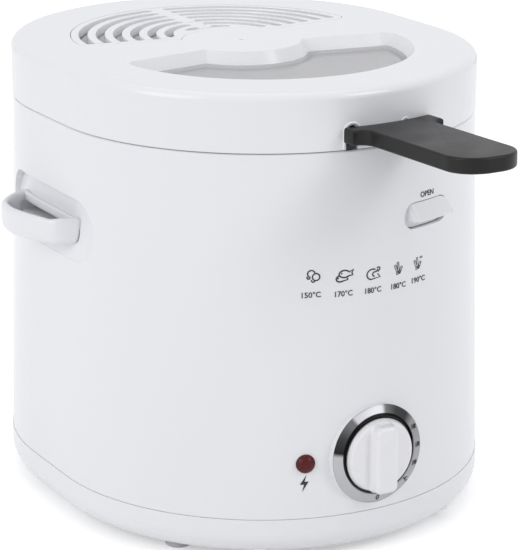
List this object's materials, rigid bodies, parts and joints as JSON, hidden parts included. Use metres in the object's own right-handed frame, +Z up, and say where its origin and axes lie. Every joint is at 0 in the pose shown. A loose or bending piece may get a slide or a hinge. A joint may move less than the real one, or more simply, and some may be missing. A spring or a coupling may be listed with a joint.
{
  "type": "deep fryer",
  "caption": "Compact electric deep fryer: oval white body, hinged lid with window and vent, lift-out wire basket on a black handle, dial thermostat and push-to-open latch.",
  "frame": {"origin": "on the worktop, under the middle of the oval body, in the plane of the feet", "axes": "+Z up, -Y out of the front where the dial and the basket handle are, +X to the right seen from the front; +Y runs along the longest extent, front to back"},
  "size_m": [0.2542, 0.3505, 0.2275],
  "materials": {
    "white_plastic": "smooth glossy white",
    "knob_plastic": "smooth glossy white",
    "white_inner": "plain natural white moulding",
    "black_plastic": "satin black",
    "black_trim": "matt black",
    "black_rubber": "matt black",
    "grey_rubber": "light grey",
    "seal_rubber": "grey heat-proof silicone",
    "dial_metal": "spun, satin silver",
    "basket_steel": "bright plated wire",
    "basket_wire": "bright plated woven wire",
    "plated_steel": "zinc plated",
    "galvanised_sheet": "galvanised sheet",
    "spring_steel": "drawn spring wire",
    "element_tube": "heat-tinted steel tube",
    "fuse_metal": "plain metal capsule",
    "copper_tube": "drawn copper",
    "liner_sheet": "satin sheet",
    "pot_coating": "dark non-stick coating",
    "smoked_glass": "lightly smoked clear pane",
    "red_lens": "translucent red",
    "filter_fibre": "dark filter fleece",
    "thermostat_body": "dark phenolic moulding"
  },
  "bodies": {
    "body": {"base": "white_plastic", "base_screws": "plated_steel", "basket_bracket": "basket_steel", "basket_frame": "basket_steel", "basket_handle": "black_plastic", "basket_mesh": "basket_wire", "bracket_screws": "plated_steel", "button_spring": "spring_steel", "cord_gland": "black_rubber", "dial_backing": "black_trim", "dial_ring": "dial_metal", "element_strap": "plated_steel", "feet": "grey_rubber", "handle_rivets": "plated_steel", "heat_shield": "galvanised_sheet", "heating_element": "element_tube", "hinge_pin": "plated_steel", "housing": "white_plastic", "deck_ring": "white_plastic", "lamp_holder": "white_inner", "lamp_lens": "red_lens", "latch_pin": "plated_steel", "latch_spring": "spring_steel", "pot": "pot_coating", "sensor_tube": "copper_tube", "shield_screws": "plated_steel", "side_handle_left": "white_plastic", "side_handle_right": "white_plastic", "strap_nut": "plated_steel", "terminal_block": "white_inner", "thermal_fuse": "fuse_metal", "thermostat": "thermostat_body", "thermostat_bracket": "plated_steel"},
    "lid": {"lid_shell": "white_plastic", "window_pane": "smoked_glass", "window_seal": "seal_rubber", "filter_grid": "black_trim", "filter_mat": "filter_fibre", "lid_liner": "liner_sheet", "lid_gasket": "seal_rubber", "lid_screws": "plated_steel", "lid_catch": "white_inner"},
    "vent_cover": {"filter_cover": "white_plastic"},
    "release": {"release_button": "white_plastic"},
    "lever": {"latch_lever": "white_inner"},
    "dial_knob": {"knob": "knob_plastic", "knob_shaft": "plated_steel"}
  },
  "joints": [
    {"name": "lid_hinge", "type": "hinge", "parent": "body", "child": "lid", "pos_m": [0, 0.13028, 0.1965], "axis": [-1, 0, 0], "range_deg": [0, 85]},
    {"name": "filter_cover_lift", "type": "slide", "parent": "lid", "child": "vent_cover", "axis": [0, 0, 1], "range_m": [0, 0.015]},
    {"name": "release_press", "type": "slide", "parent": "body", "child": "release", "axis": [0, 1, 0], "range_m": [0, 0.0035], "stiffness_N_per_m": 400, "springref_m": -0.003, "deforming": ["button_spring"]},
    {"name": "latch_turn", "type": "hinge", "parent": "body", "child": "lever", "pos_m": [0, -0.1055, 0.176], "axis": [1, 0, 0], "range_deg": [0, 18.5], "deforming": ["latch_spring"]},
    {"name": "knob_turn", "type": "hinge", "parent": "body", "child": "dial_knob", "pos_m": [0, -0.129, 0.0511], "axis": [0, 1, 0], "range_deg": [0, 290]}
  ],
  "couplings": [
    {"joint": "latch_turn", "follows": "release_press", "rad_per_m": 92}
  ]
}
